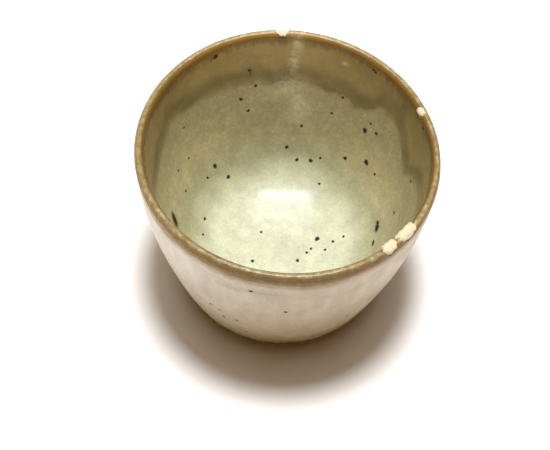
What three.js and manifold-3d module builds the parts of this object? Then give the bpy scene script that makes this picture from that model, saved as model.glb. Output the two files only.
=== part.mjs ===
// A wheel-thrown stoneware soba cup: a small flat-bottomed dipping-sauce cup that widens to a rounded lip.
// It is one thrown and trimmed clay body under four coats that the kiln fused to it: a green ash glaze
// inside, a milky glaze outside, an iron slip brushed over the lip, and glaze in the hollow of the foot.
// Millimetres, +Z up, origin at the centre of the foot on the table; the worn side of the lip faces +X.
import * as THREE from "three";
import { mergeVertices } from "three/addons/utils/BufferGeometryUtils.js";
import Module from "manifold-3d";

// Outside of the clay
const CUP_HEIGHT = 58.6; // table to the top of the bare clay lip
const LIP_RADIUS = 41; // clay, at the top of the lip
const HEEL_RADIUS = 27.5; // clay, where the wall would meet the table without the bevel
const BELLY = 2.4; // how far the wall swells past a straight taper, at mid height
const HEEL_BEVEL_WIDTH = 1.3; // trimmed edge between the wall and the foot
const HEEL_BEVEL_HEIGHT = 1.5;

// Inside of the clay
const LIP_WALL = 1.8; // wall thickness under the lip
const HEEL_WALL = 5.6; // the same wall, carried down to the table
const WALL_CURVE = 1.5; // above 1, the wall thickens mostly near the foot
const LIP_CROWN = 1.5; // height of the lip's rounding
const FLOOR_HEIGHT = 7.2; // table to the lowest point of the well
const WELL_DEPTH = 24; // height over which the wall turns into the floor
const WELL_SQUARENESS = 2.5; // 2 is a round well, more is a flatter floor with a tighter corner

// Foot
const FOOT_RING_WIDTH = 5.4; // flat ring that stands on the table
const HOLLOW_DEPTH = 2.6; // trimmed hollow inside the ring
const HOLLOW_SLOPE = 1.4; // how far the ring's inner side leans in

// Coats
const FUSED_LINE = 0.05; // joint between a coat and its clay, and between two coats
const INSIDE_GLAZE = 0.4;
const POOLED_GLAZE = 0.5; // extra depth of green glaze that ran down into the well
const OUTSIDE_GLAZE = 0.4;
const SLIP_COAT = 0.4;
const SLIP_OUTSIDE = 3.4; // how far the iron slip comes down outside the lip
const SLIP_INSIDE = 2.6; // the same, inside
const SLIP_WANDER = 0.5; // unevenness of its brushed edges
const GLAZE_LINE_HEIGHT = 2.7; // bare clay below the outside glaze
const GLAZE_LINE_WANDER = 0.6;
const HOLLOW_GLAZE = 0.4;
const HOLLOW_GLAZE_MARGIN = 1.2; // bare clay between the hollow's corner and its glaze

// How the coats' edges wander on the way round: waves in a turn, radians they start at, share of the whole
const SLIP_OUTSIDE_WAVES = [{ count: 3, start: 0.4, share: 1 }];
const SLIP_INSIDE_WAVES = [{ count: 4, start: 1.57, share: 1 }];
const GLAZE_LINE_WAVES = [
  { count: 2, start: 2, share: 0.6 },
  { count: 5, start: 0, share: 0.4 },
];

// How far the hand-thrown shape strays from a true circle
const OVALITY = 0.009; // share of the radius, at the lip
const OVAL_DIRECTION = 2.1; // radians from +X to the long way across
const LIP_WAVE = 0.45; // rise of the lip at the front and back, and its fall at the sides
const LIP_SLANT = 0.35; // how far the lip leans down towards +X

// Flakes knocked off the lip: angle, length and width, depth into the clay, and how far towards the inside
const LIP_FLAKES = [
  { turn: -0.65, length: 8.4, width: 3.6, depth: 0.6, inward: 0.2 },
  { turn: -0.83, length: 4.8, width: 3.0, depth: 0.5, inward: 0.3 },
  { turn: 0.41, length: 2.6, width: 2.0, depth: 0.4, inward: 0.6 },
  { turn: 1.66, length: 3.6, width: 1.7, depth: 0.4, inward: 0 },
];
const FLAKE_LEAN = 0.5; // radians that a flake leans in for each millimetre that it lies inward
const FLAKE_FACETS = [14, 10]; // along it and down it

// Facets
const AROUND = 56;
const WALL_STEPS = 9; // outside
const INNER_STEPS = 5; // inside, from the lip to the well
const LIP_STEPS = 4;
const WELL_STEPS = 7;

const { PI, sin, cos, max, min, hypot } = Math;
const wasm = await Module();
wasm.setup();

// Radius of the clay's outside and inside at a height.
function outsideRadius(z) {
  const t = z / CUP_HEIGHT;
  return HEEL_RADIUS + (LIP_RADIUS - HEEL_RADIUS) * t + BELLY * 4 * t * (1 - t);
}

function insideRadius(z) {
  const t = z / CUP_HEIGHT;
  return outsideRadius(z) - (LIP_WALL + (HEEL_WALL - LIP_WALL) * (1 - t) ** WALL_CURVE);
}

const LIP_BASE = CUP_HEIGHT - LIP_CROWN; // where the lip's rounding starts
const WELL_TOP = FLOOR_HEIGHT + WELL_DEPTH; // where the well turns into the wall
const FOOT_OUTER = outsideRadius(HEEL_BEVEL_HEIGHT) - HEEL_BEVEL_WIDTH;
const FOOT_INNER = FOOT_OUTER - FOOT_RING_WIDTH;
const HOLLOW_RADIUS = FOOT_INNER - HOLLOW_SLOPE;

const spread = (from, to, steps) =>
  Array.from({ length: steps + 1 }, (_, i) => from + ((to - from) * i) / steps);

// The clay's stretches as [radius, height] points. Outside, from the given height up to the lip's rounding.
const outsideWall = (from, to = LIP_BASE, steps = WALL_STEPS) =>
  spread(from, to, steps).map((z) => [outsideRadius(z), z]);

// The rounding of the lip, as half an ellipse from the outside to the inside.
function lipCrown() {
  const middle = (outsideRadius(LIP_BASE) + insideRadius(LIP_BASE)) / 2;
  const half = (outsideRadius(LIP_BASE) - insideRadius(LIP_BASE)) / 2;
  return spread(0, PI, LIP_STEPS + 2)
    .slice(1, -1)
    .map((a) => [middle + half * cos(a), LIP_BASE + LIP_CROWN * sin(a)]);
}

// Inside, from the given height down to the top of the well.
const insideWall = (from, to = WELL_TOP, steps = INNER_STEPS) =>
  spread(from, to, steps).map((z) => [insideRadius(z), z]);

// The well, a quarter of a superellipse from the wall to the middle of the floor.
function well() {
  const power = 2 / WELL_SQUARENESS;
  return spread(PI / 2, 0, WELL_STEPS)
    .slice(1)
    .map((a) => {
      const z = FLOOR_HEIGHT + WELL_DEPTH * (1 - max(cos(a), 0) ** power);
      return [a > 0 ? insideRadius(z) * sin(a) ** power : 0, z];
    });
}

// A line moved sideways: each point goes out along the normal there by its own distance.
function moved(line, distanceAt) {
  return line.map(([r, z], i) => {
    const [r0, z0] = line[max(i - 1, 0)];
    const [r1, z1] = line[min(i + 1, line.length - 1)];
    const long = hypot(r1 - r0, z1 - z0);
    const d = distanceAt(i, r, z);
    return [r === 0 ? 0 : r + (d * (z1 - z0)) / long, z - (d * (r1 - r0)) / long];
  });
}

// The section of a coat that lies on a line of clay: its face, then back along its seat.
function coatSection(line, thicknessAt) {
  const face = moved(line, (i, r, z) => FUSED_LINE + thicknessAt(i, r, z));
  const seat = moved(line, () => FUSED_LINE);
  return [...face, ...seat.reverse()];
}

// Where a point of the true section lies on the cup as it left the potter's hands.
function thrown(r, z, turn) {
  const t = z / CUP_HEIGHT;
  const radius = r * (1 + OVALITY * t * cos(2 * (turn - OVAL_DIRECTION)));
  const rise = -LIP_WAVE * cos(2 * turn) - LIP_SLANT * cos(turn);
  return [radius * cos(turn), radius * sin(turn), z + rise * t ** 4];
}

// A solid turned on the wheel from a closed section, which may change on the way round and may touch the axis.
function turnedSolid(sectionAt) {
  const sections = spread(0, 2 * PI, AROUND).slice(0, -1).map((turn) => ({ turn, line: sectionAt(turn) }));
  const count = sections[0].line.length;
  const corner = (j, i) => {
    const { turn, line } = sections[j % AROUND];
    const [r, z] = line[i % count];
    return r === 0 ? [0, 0, z] : thrown(r, z, turn);
  };
  const corners = [];
  for (let j = 0; j < AROUND; j++)
    for (let i = 0; i < count; i++) {
      const [a, b, c, d] = [corner(j, i), corner(j + 1, i), corner(j + 1, i + 1), corner(j, i + 1)];
      if (hypot(a[0], a[1]) > 0) corners.push(...a, ...b, ...c);
      if (hypot(d[0], d[1]) > 0) corners.push(...a, ...c, ...d);
    }
  const geometry = new THREE.BufferGeometry();
  geometry.setAttribute("position", new THREE.Float32BufferAttribute(corners, 3));
  return asSolid(geometry);
}

// Between three.js geometry and solids that can be cut.
function asSolid(geometry) {
  const bare = geometry.clone();
  bare.deleteAttribute("normal");
  bare.deleteAttribute("uv");
  const merged = mergeVertices(bare, 1e-4);
  return new wasm.Manifold(
    new wasm.Mesh({
      numProp: 3,
      vertProperties: merged.attributes.position.array,
      triVerts: new Uint32Array(merged.index.array),
    }),
  );
}

function asGeometry(solid) {
  const { vertProperties, triVerts } = solid.getMesh();
  const geometry = new THREE.BufferGeometry();
  geometry.setAttribute("position", new THREE.BufferAttribute(vertProperties, 3));
  geometry.setIndex(new THREE.BufferAttribute(triVerts, 1));
  geometry.computeVertexNormals();
  return geometry;
}

// The shape of one flake: a flat egg laid along the lip, sunk into it by its depth.
function flake({ turn, length, width, depth, inward }) {
  const middle = (outsideRadius(LIP_BASE) + insideRadius(LIP_BASE)) / 2;
  const [x, y, top] = thrown(middle - inward, CUP_HEIGHT, turn);
  const egg = new THREE.SphereGeometry(1, ...FLAKE_FACETS);
  egg.scale(width / 2, length / 2, 2 * depth);
  egg.rotateY(-inward * FLAKE_LEAN);
  egg.rotateZ(turn);
  egg.translate(x, y, top + depth);
  return asSolid(egg);
}

const flakes = LIP_FLAKES.map(flake);
const flaked = (solid) => flakes.reduce((left, cut) => left.subtract(cut), solid);

// Edges of the coats on the way round, as heights on the clay.
const wandering = (waves, turn) =>
  waves.reduce((sum, { count, start, share }) => sum + share * sin(count * turn + start), 0);
const slipOutsideEdge = (turn) => LIP_BASE - SLIP_OUTSIDE + SLIP_WANDER * wandering(SLIP_OUTSIDE_WAVES, turn);
const slipInsideEdge = (turn) => LIP_BASE - SLIP_INSIDE + SLIP_WANDER * wandering(SLIP_INSIDE_WAVES, turn);
const glazeLine = (turn) => GLAZE_LINE_HEIGHT + GLAZE_LINE_WANDER * wandering(GLAZE_LINE_WAVES, turn);

// Thrown body: hollow, foot ring, trimmed heel, wall, lip and well.
function clayBody() {
  const section = [
    [0, HOLLOW_DEPTH],
    [HOLLOW_RADIUS - HOLLOW_GLAZE_MARGIN, HOLLOW_DEPTH],
    [HOLLOW_RADIUS, HOLLOW_DEPTH],
    [FOOT_INNER, 0],
    [FOOT_OUTER, 0],
    ...outsideWall(HEEL_BEVEL_HEIGHT),
    ...lipCrown(),
    ...insideWall(LIP_BASE),
    ...well(),
  ];
  return flaked(turnedSolid(() => section));
}

// Green ash glaze, from the slip's edge down over the wall and deeper in the well.
function insideGlaze() {
  return turnedSolid((turn) => {
    const line = [...insideWall(slipInsideEdge(turn) - FUSED_LINE), ...well()];
    const pooled = (z) => POOLED_GLAZE * max(0, 1 - (z - FLOOR_HEIGHT) / WELL_DEPTH) ** 2;
    return coatSection(line, (i, r, z) => INSIDE_GLAZE + pooled(z));
  });
}

// Milky glaze outside, from the glaze line above the foot up to the slip's edge.
function outsideGlaze() {
  return turnedSolid((turn) => {
    const line = outsideWall(glazeLine(turn), slipOutsideEdge(turn) - FUSED_LINE);
    return coatSection(line, () => OUTSIDE_GLAZE);
  });
}

// Iron slip that wraps the lip.
function lipSlip() {
  return flaked(
    turnedSolid((turn) => {
      const down = outsideWall(slipOutsideEdge(turn), LIP_BASE, 1);
      const up = insideWall(LIP_BASE, slipInsideEdge(turn), 1);
      return coatSection([...down, ...lipCrown(), ...up], () => SLIP_COAT);
    }),
  );
}

// Glaze in the hollow of the foot, a disc that hangs under the clay.
function hollowGlaze() {
  const reach = HOLLOW_RADIUS - HOLLOW_GLAZE_MARGIN;
  const seat = HOLLOW_DEPTH - FUSED_LINE;
  const section = [
    [0, seat - HOLLOW_GLAZE],
    [reach - HOLLOW_GLAZE, seat - HOLLOW_GLAZE],
    [reach, seat - HOLLOW_GLAZE / 2],
    [reach, seat],
    [0, seat],
  ];
  return turnedSolid(() => section);
}

const clay = new THREE.MeshStandardMaterial({ color: 0xd8c3a0, roughness: 0.85, metalness: 0 });
const greenGlaze = new THREE.MeshStandardMaterial({ color: 0xb7b98c, roughness: 0.2, metalness: 0 });
const milkyGlaze = new THREE.MeshStandardMaterial({ color: 0xcfc4ae, roughness: 0.25, metalness: 0 });
const ironSlip = new THREE.MeshStandardMaterial({ color: 0x7a5a2c, roughness: 0.3, metalness: 0 });

function piece(name, solid, material) {
  const mesh = new THREE.Mesh(asGeometry(solid), material);
  mesh.name = name;
  return mesh;
}

const sobaCup = new THREE.Group();
sobaCup.add(
  piece("clay_body", clayBody(), clay),
  piece("inside_glaze", insideGlaze(), greenGlaze),
  piece("outside_glaze", outsideGlaze(), milkyGlaze),
  piece("lip_iron_slip", lipSlip(), ironSlip),
  piece("foot_hollow_glaze", hollowGlaze(), milkyGlaze),
);

export default sobaCup;
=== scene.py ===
"""The finish of a wheel-thrown stoneware soba cup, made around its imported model.

Every surface is the cup's section turned about the wheel's axis. A place on the cup is given by `along`, the
distance along the clay's section from the middle of the hollow under the foot, out over the foot ring, up
the outside, over the lip and down to the middle of the well, and by `turn`, the angle about the axis from +X.
"""

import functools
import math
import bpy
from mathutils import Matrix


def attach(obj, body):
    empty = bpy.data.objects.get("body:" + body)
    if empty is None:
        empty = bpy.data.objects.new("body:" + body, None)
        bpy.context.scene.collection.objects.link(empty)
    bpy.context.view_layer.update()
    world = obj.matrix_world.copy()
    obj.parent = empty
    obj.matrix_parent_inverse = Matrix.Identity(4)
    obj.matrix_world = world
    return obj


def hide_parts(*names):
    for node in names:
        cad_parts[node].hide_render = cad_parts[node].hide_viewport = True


bl_info = {
    "name": "Soba Cup",
    "version": (1, 0, 0),
    "blender": (4, 5, 0),
    "location": "3D View > Sidebar > Soba Cup",
    "description": "Makes a glazed stoneware soba cup and a plain studio to show it in",
    "category": "Add Mesh",
}

from types import SimpleNamespace

import bpy
import numpy as np
from mathutils import Matrix, Vector

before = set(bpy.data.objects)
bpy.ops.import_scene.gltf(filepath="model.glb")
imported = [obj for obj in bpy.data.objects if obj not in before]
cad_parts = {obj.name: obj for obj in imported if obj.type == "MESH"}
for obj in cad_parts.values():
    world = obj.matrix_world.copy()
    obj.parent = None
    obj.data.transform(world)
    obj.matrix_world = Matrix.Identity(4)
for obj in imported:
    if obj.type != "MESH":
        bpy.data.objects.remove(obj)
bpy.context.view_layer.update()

MM = 0.001
PHOTO_WIDTH, PHOTO_HEIGHT = 550, 450
HIDDEN = 0.15 * MM  # how deep in the clay the unseen side of a coat lies
OVERLAP = 2 * MM  # how far a coat runs on past its edge, thinning out, to meet its neighbour
POOL_START = 34 * MM  # how far from the crest the glaze begins to pool, and the length over which it deepens
SPOT_SPREAD = 1.65 * MM  # a spot's soft rim with its dark middle, for each millimetre of the middle
FAR_OFF = 99.0  # a distance past every edge, in millimetres
WHOLE_TURN = 2 * np.pi

# Pale patches on the lip where the slip is gone: angle, length along the lip, width, how far the rough pale
# clay stands out, and how far towards the inside
LIP_FLAKES = [
    (-0.65, 7.2 * MM, 5.2 * MM, 0.46 * MM, 0.9 * MM),
    (-0.82, 5.0 * MM, 4.8 * MM, 0.46 * MM, 0.9 * MM),
    (0.41, 3.0 * MM, 3.0 * MM, 0.35 * MM, 1.2 * MM),
    (1.66, 3.8 * MM, 2.4 * MM, 0.35 * MM, 0.1 * MM),
]

# Where the dark run of slip ends on the wall of the well, as the camera sees it in the photograph's frame
DRIP_LINE = [
    (157, 180), (162, 147), (168.5, 124), (175, 114.5), (195, 102.5), (207, 95), (221, 89), (247, 82),
    (259, 78.5), (277, 86), (291, 78), (315, 84), (328, 91), (349, 97), (354, 107), (371, 110), (381, 105),
    (395, 120), (399, 128), (404, 172), (417, 180),
]

# Iron spots as the camera sees them in the photograph's frame: across, down, and width in millimetres
INSIDE_SPOTS = [
    (215.5, 56.5, 1.1), (241, 99, 0.8), (256, 85.5, 0.7), (248.5, 110.5, 0.7), (249.5, 70.5, 0.8),
    (286.5, 147, 0.8), (184, 127.5, 0.6), (365, 130.5, 1.2), (376, 133.5, 0.8), (371, 124, 0.6),
    (301.5, 125.5, 0.7), (332, 113, 0.6), (343, 97.5, 0.65), (375.5, 72.5, 0.7), (377, 65, 0.7),
    (215, 166, 1.0), (228, 177, 0.9), (207.5, 177.5, 0.6), (186, 191, 0.6), (204.5, 219, 0.7),
    (252, 262, 0.8), (297.5, 261.5, 0.8), (261, 233, 0.6),
    (203, 234.5, 0.6), (188.5, 158, 0.6), (178, 170.5, 0.6), (297, 159.5, 0.8), (310.5, 160.5, 0.9),
    (320, 158, 0.6), (345, 158, 0.9), (366.5, 162.5, 1.3), (374.5, 174, 0.7), (319.5, 184, 0.6),
    (317.5, 239.5, 1.1), (411, 181.5, 0.8),
    (394, 212.5, 0.7), (325.5, 250.5, 0.65), (333.5, 242, 0.7), (344, 237, 0.65), (307, 253.5, 0.65),
    (311, 249.5, 0.6), (426.5, 126.5, 0.8),
]
OUTSIDE_SPOTS = [
    (250.5, 291, 0.8), (237, 320, 0.8), (223.5, 316, 0.8), (220, 309.5, 0.7), (286, 312, 0.8),
    (246.5, 331.5, 0.7), (211, 303.5, 0.7), (347, 316, 0.8),
]

# Spots that ran as they melted: the two ends of each, across and down, and how wide it is in millimetres
RUN_SPOTS = [
    (171.5, 213, 177, 226, 2.2), (378, 221, 377.5, 225, 0.8), (377.5, 225, 376.5, 231, 1.3),
    (374, 240, 372.5, 246, 0.6), (249.5, 67, 250.5, 78, 0.4),
]

# Pale and green patches of the glaze on the wall of the well, where the run slip ends crisply, and grey smears
# on the milky glaze: across, down, and how far each reaches round the cup and up it in millimetres
PALE_PATCHES = [
    (298, 43, 1.6, 3.5), (294, 60, 1.6, 5.0), (290, 87, 5.5, 3.6), (299, 104, 3.0, 5.5), (345, 64, 0.8, 0.7),
]
GREEN_PATCHES = [
    (278, 79, 3.0, 2.6), (362, 101, 3.4, 2.2), (401, 158, 2.6, 4.5), (404, 110, 1.6, 3.0), (190, 103, 4.0, 1.4),
]
CRISP_END = [(350, 98, 15.0, 30.0)]
SMEARS = [
    (249, 291, 2.6, 0.9), (262, 293, 6.0, 0.8), (232, 288, 3.0, 1.2), (205, 290, 2.0, 5.0),
    (310, 289, 9.0, 0.7),
]

# Painted light and shade on the wall of the well, which make it lighter high at the back and on both sides, and
# darker
# lower at the back: across, down, reach round the cup and up it in millimetres, and by what share
PAINTED_LIGHT_AND_SHADE = [
    (282, 45, 28.0, 9.0, 0.8), (272, 135, 24.0, 11.0, -0.22), (376, 192, 12.0, 10.0, 0.14),
    (182, 165, 16.0, 6.0, 0.14),
]

# The colour of the coats by distance from the lip's crest in millimetres, below 0 outside the cup: the milky
# wall, darkening towards the foot partly as thin glaze and partly as painted shade, the slip with its thick
# dark edge, tan glaze under it inside, and the greens down to the pale floor
BAND_REACH = 80.0
GLAZE_BANDS = [
    (-60, "thin_milky_and_painted_shade"), (-16, "milky"), (-5.8, "milky"), (-3.5, "taupe"), (-3.2, "slip_outside"),
    (-2.3, "slip_edge"), (-1.3, "slip_outside"), (-0.4, "slip_outside"), (0.5, "slip_outside"),
    (1.4, "slip"), (2.4, "slip"), (4.4, "taupe"), (18, "taupe"), (24, "khaki"), (33, "khaki"),
    (42, "olive"), (47.5, "celadon"), (53, "pool"), (60, "pool"), (72, "middle"),
]

# Cloudy patterns: the width and height of a blotch, how many finer layers it has, and how strong those are.
# The swings run from -0.5 to 0.5 and push the bands' edges about; the clouds run from 0 to 1.
GLAZE_SWINGS = {
    "dip": (11 * MM, 11 * MM, 2, 0.5),  # a cup dipped and wiped by hand
    "creep": (2.2 * MM, 2.2 * MM, 4, 0.6),  # the ragged edge of melting glaze
    # A bristle is about 0.2 mm thick, too fine to show, so its stroke is drawn as wide as a clump of them
    "bristles": (1.1 * MM, 3.4 * MM, 4, 0.75),
}
GLAZE_CLOUDS = {
    "worn": (1.6 * MM, 1.6 * MM, 4, 0.65),  # wear on the crest of the lip
    "thin_run": (9 * MM, 9 * MM, 3, 0.5),  # where the run slip is thin
    "clots": (2 * MM, 2 * MM, 4, 0.7),  # clots in the pale patches
    # The grains of ash are about 0.3 mm wide, too fine to show, so they are drawn in clusters of 1.1 mm
    "grains": (1.1 * MM, 1.1 * MM, 4, 0.75),
    "drips": (3.4 * MM, 40 * MM, 2, 0.5),  # the milky glaze ran down in streaks
    "clouds": (5 * MM, 5 * MM, 5, 0.65),  # thicker and thinner glaze
    # The crystals in the glaze are about 0.2 mm wide, too fine to show, so they are drawn 0.7 mm wide
    "sugar": (0.7 * MM, 0.7 * MM, 2, 0.6),
    "dulled": (6 * MM, 6 * MM, 4, 0.5),  # where the fire left the gloss duller
}
CLAY_CLOUDS = {
    "grit": (0.5 * MM, 0.5 * MM, 6, 0.7),  # sand in stoneware is 0.2 to 0.5 mm wide
    "scorch": (3 * MM, 3 * MM, 4, 0.6),  # patches that the flame reached
}
SPECK_SPACING, SPECK_SHARE = 3.1 * MM, 0.7  # between places for a fine iron speck, and the share left empty
PINHOLE_SPACING = 1.9 * MM
GLAZE_MARKS = ("from_lip", "past_run", "from_foot", "pale", "green", "crisp", "lightness", "smear", "iron")

# The two round lamps overhead, seen by no gloss: place across and from front to back, and width. Both stand
# behind the cup's middle, so the shadow falls towards the camera: the top lamp casts its core, and the wide one
# its soft outer part.
LAMP_HEIGHT = 1.6
TOP_LAMP, WIDE_LAMP = (0, 90 * MM, 0.34), (-5 * MM, 243 * MM, 1.5)

# The window above that shows in the gloss alone, from its sharp bright edge on: middle across, middle from
# front to back, width, depth, and watts. The first and brightest strip gives the edge of the reflection in the
# well, and the others fade it out towards the back.
WINDOW_HEIGHT = 0.6
SHINE_LAMPS = [
    (-10 * MM, -175 * MM, 0.45, 0.08, 1.9), (0, -75 * MM, 0.5, 0.12, 1.45), (0, 50 * MM, 0.46, 0.13, 1.0),
    (0, 185 * MM, 0.42, 0.14, 0.4),
]

# Low lamps round the cup that stand for the light of the room: the angle of each from +X, its watts, its
# colour, and whether it lights the cup or the table under it. Those for the cup light its outer wall from the
# right, the left and behind, most from the left; those for the table warm the shadow from four sides.
SIDE_DISTANCE, SIDE_HEIGHT, SIDE_WIDTH, SIDE_TALL = 0.45, 0.037, 0.4, 0.07
SIDE_LAMPS = [
    (0, 0.3, "window", "cup"), (180, 1.05, "window", "cup"), (90, 0.25, "window", "cup"),
    (0, 0.15, "room", "table"), (180, 0.1, "room", "table"), (-60, 0.1, "room", "table"),
    (-120, 0.1, "room", "table"),
]
CUP_MIDDLE = 30 * MM  # the height on the cup that the low lamps face
FLOOR_REACH = 2.0  # from the cup to each edge of the floor, in metres
SENSOR_WIDTH = 36  # millimetres
NEAREST, FARTHEST = 0.01, 20  # what the camera draws, in metres


def linear(code):
    """Turns an sRGB hex colour into the linear red, green, blue and alpha that the shaders work in."""
    shades = [int(code[i : i + 2], 16) / 255 for i in (0, 2, 4)]
    return [c / 12.92 if c <= 0.04045 else ((c + 0.055) / 1.055) ** 2.4 for c in shades] + [1.0]


def length(name, value, description):
    """A size in metres that the sidebar shows as a length."""
    return bpy.props.FloatProperty(
        name=name, default=value, description=description, min=0, precision=5, unit="LENGTH", subtype="DISTANCE"
    )


def colour(name, code, description):
    """A colour that the sidebar shows as a swatch."""
    return bpy.props.FloatVectorProperty(
        name=name, default=linear(code), description=description, size=4, min=0, max=1, subtype="COLOR"
    )


class CupSizes(bpy.types.PropertyGroup):
    """Sizes of the thrown clay and its coats."""

    cup_height: length("Height", 58.6 * MM, "Table to the top of the bare clay lip")
    lip_radius: length("Lip radius", 41 * MM, "Radius of the clay at the top of the lip")
    heel_radius: length("Heel radius", 27.5 * MM, "Radius where the wall would meet the table")
    belly: length("Belly", 2.4 * MM, "How far the wall swells past a straight taper")
    bevel_width: length("Bevel width", 1.3 * MM, "Width of the trimmed edge above the foot")
    bevel_height: length("Bevel height", 1.5 * MM, "Height of the trimmed edge above the foot")
    lip_wall: length("Lip wall", 1.8 * MM, "Wall thickness under the lip")
    heel_wall: length("Heel wall", 5.6 * MM, "Wall thickness carried down to the table")
    lip_crown: length("Lip crown", 1.5 * MM, "Height of the lip's rounding")
    floor_height: length("Floor height", 7.2 * MM, "Table to the lowest point of the clay well")
    well_depth: length("Well depth", 24 * MM, "Height over which the wall turns into the floor")
    foot_ring: length("Foot ring", 5.4 * MM, "Width of the ring that stands on the table")
    hollow_depth: length("Hollow depth", 2.6 * MM, "Depth of the trimmed hollow in the foot")
    hollow_slope: length("Hollow slope", 1.4 * MM, "How far the ring's inner side leans in")
    glaze: length("Glaze", 0.4 * MM, "Thickness of the glaze and of the slip")
    pooled_glaze: length("Pooled glaze", 0.5 * MM, "Extra depth of glaze on the floor of the well")
    slip_outside: length("Slip outside", 3.4 * MM, "How far the iron slip comes down outside the lip")
    slip_inside: length("Slip inside", 2.6 * MM, "How far the iron slip comes down inside the lip")
    glaze_line: length("Glaze line", 2.7 * MM, "Bare clay below the outside glaze")
    hollow_margin: length("Hollow margin", 1.2 * MM, "Bare clay round the glaze in the foot's hollow")
    lip_wave: length("Lip wave", 0.45 * MM, "Rise of the lip at front and back, and its fall at the sides")
    lip_slant: length("Lip slant", 0.35 * MM, "How far the lip leans down towards +X")
    ring_spacing: length("Throwing rings", 3.3 * MM, "Distance between the marks of the potter's fingers")
    ring_depth: length("Ring depth", 0.02 * MM, "Height of those marks")
    well_squareness: bpy.props.FloatProperty(
        name="Well squareness", default=2.5, min=2, max=4,
        description="2 is a round well, more is a flatter floor",
    )
    ovality: bpy.props.FloatProperty(
        name="Ovality", default=0.009, min=0, max=0.05,
        description="Share of the radius that the lip is oval by",
    )
    oval_direction: bpy.props.FloatProperty(
        name="Oval direction", default=2.1, subtype="ANGLE", description="Angle of the long way across"
    )
    around: bpy.props.IntProperty(
        name="Steps around", default=400, min=48, max=600, description="Mesh steps round the cup"
    )


class CupColours(bpy.types.PropertyGroup):
    """Colours of the clay and its coats."""

    bare_clay: colour("Bare clay", "fff0cc", "Pale clay that shows where the lip is flaked")
    toasted_clay: colour("Toasted clay", "523619", "Bare clay at the foot, toasted by the kiln")
    crest: colour("Crest", "b29e70", "Thin slip on the crest of the lip")
    slip: colour("Slip", "8f6a22", "Iron slip inside the crest")
    slip_outside: colour("Slip outside", "8c6e30", "Iron slip outside the crest")
    slip_edge: colour("Slip edge", "725218", "Where the slip outside is thickest")
    taupe: colour("Taupe", "b29a64", "Glaze that took up iron below the lip")
    run: colour("Run", "837146", "Slip that ran down under the glaze and stopped")
    grey_green: colour("Grey green", "827a4c", "Thick glaze over the run slip")
    khaki: colour("Khaki", "bcae82", "Green glaze on the wall")
    olive: colour("Olive", "b2b08a", "Green glaze lower on the wall")
    celadon: colour("Celadon", "cacba9", "Green glaze where the wall turns into the floor")
    pool: colour("Pool", "e1e4c9", "Glaze pooled on the pale floor")
    middle: colour("Middle", "dbdcc2", "The same in the middle of the floor")
    cream: colour("Cream", "e6dab4", "Pale grains in the glaze on the wall")
    milky: colour("Milky", "ece8dc", "Milky glaze outside")
    # Darker and browner than the milky glaze: partly thin glaze over the clay, partly painted shade low on the
    # wall
    thin_milky_and_painted_shade: colour("Milky low", "a18b55", "Milky glaze near the foot, where it is thin")
    smear: colour("Smear", "857a66", "Grey smears on the milky glaze")
    iron: colour("Iron spot", "2a1a08", "Iron that bled through the glaze")
    table: colour("Table", "fff2e2", "The floor that the cup stands on")


class CupStudio(bpy.types.PropertyGroup):
    """The camera fitted to the photograph's view, and the lamps."""

    elevation: bpy.props.FloatProperty(
        name="Elevation", default=math.radians(56.59), subtype="ANGLE",
        description="Camera's angle above the table",
    )
    roll: bpy.props.FloatProperty(
        name="Roll", default=math.radians(3.56), subtype="ANGLE",
        description="Camera's turn about its own axis",
    )
    distance: length("Distance", 400 * MM, "Camera to the point that it looks at")
    aim: bpy.props.FloatVectorProperty(
        name="Aim", default=(-2.2 * MM, 0, 20.78 * MM), subtype="TRANSLATION", description="Point looked at"
    )
    lens: bpy.props.FloatProperty(
        name="Lens", default=90.5, min=10, description="Focal length in millimetres on a sensor 36 mm wide"
    )
    top_power: bpy.props.FloatProperty(
        name="Top lamp", default=22.0, min=0, description="Watts of the lamp above"
    )
    wide_power: bpy.props.FloatProperty(
        name="Wide lamp", default=4.9, min=0, description="Watts of the wide lamp"
    )
    window: colour("Window", "dce8ff", "Colour of the window above")
    room: colour("Room", "ffb464", "Colour of the dim light from all round")
    room_light: bpy.props.FloatProperty(
        name="Room light", default=0.06, min=0, description="Its strength from above"
    )
    backdrop: bpy.props.FloatProperty(
        name="Backdrop", default=1.22, min=1,
        description="How much paler than its light the table looks to the camera",
    )


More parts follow.
